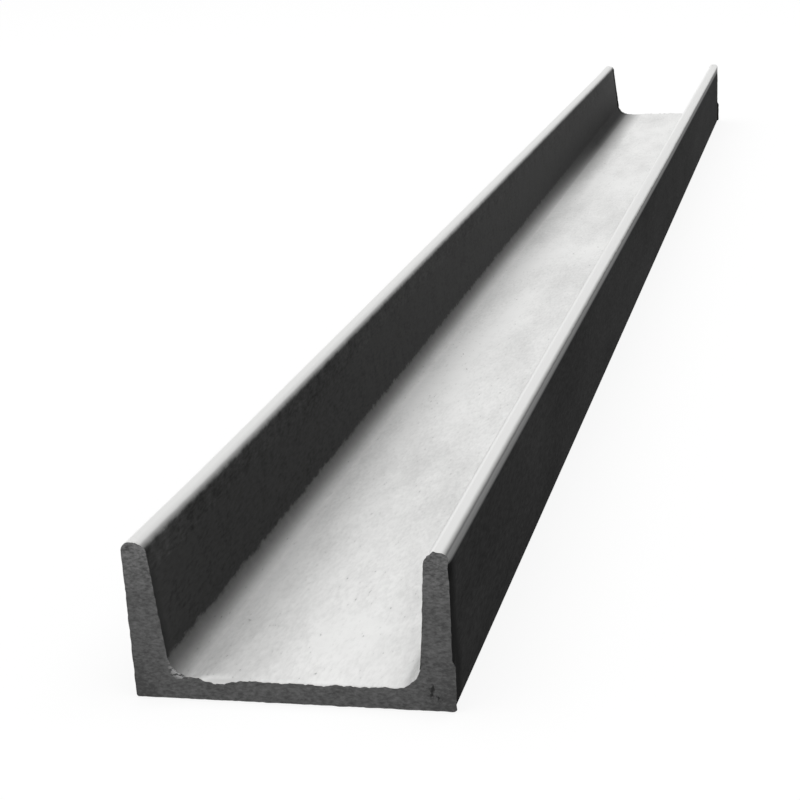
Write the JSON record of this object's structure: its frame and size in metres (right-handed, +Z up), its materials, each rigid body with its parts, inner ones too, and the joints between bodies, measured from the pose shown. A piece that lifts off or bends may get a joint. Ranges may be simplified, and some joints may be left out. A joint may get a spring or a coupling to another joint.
{
  "type": "steel channel",
  "caption": "Hot-rolled U-section steel channel with tapered flanges, rounded toes and filleted roots, sawn square at both ends, lying on the back of its web.",
  "frame": {"origin": "under the middle of the web, on the plane of the web's back", "axes": "+Y along the length, +X across the depth from flange to flange, +Z up from the web's back to the toes"},
  "size_m": [0.0762, 1, 0.0381],
  "materials": {
    "rolled_steel": "hot-rolled: dark mill scale, worn bright on the web and toes, sawn ends"
  },
  "bodies": {
    "root": {"channel": "rolled_steel"}
  },
  "joints": []
}
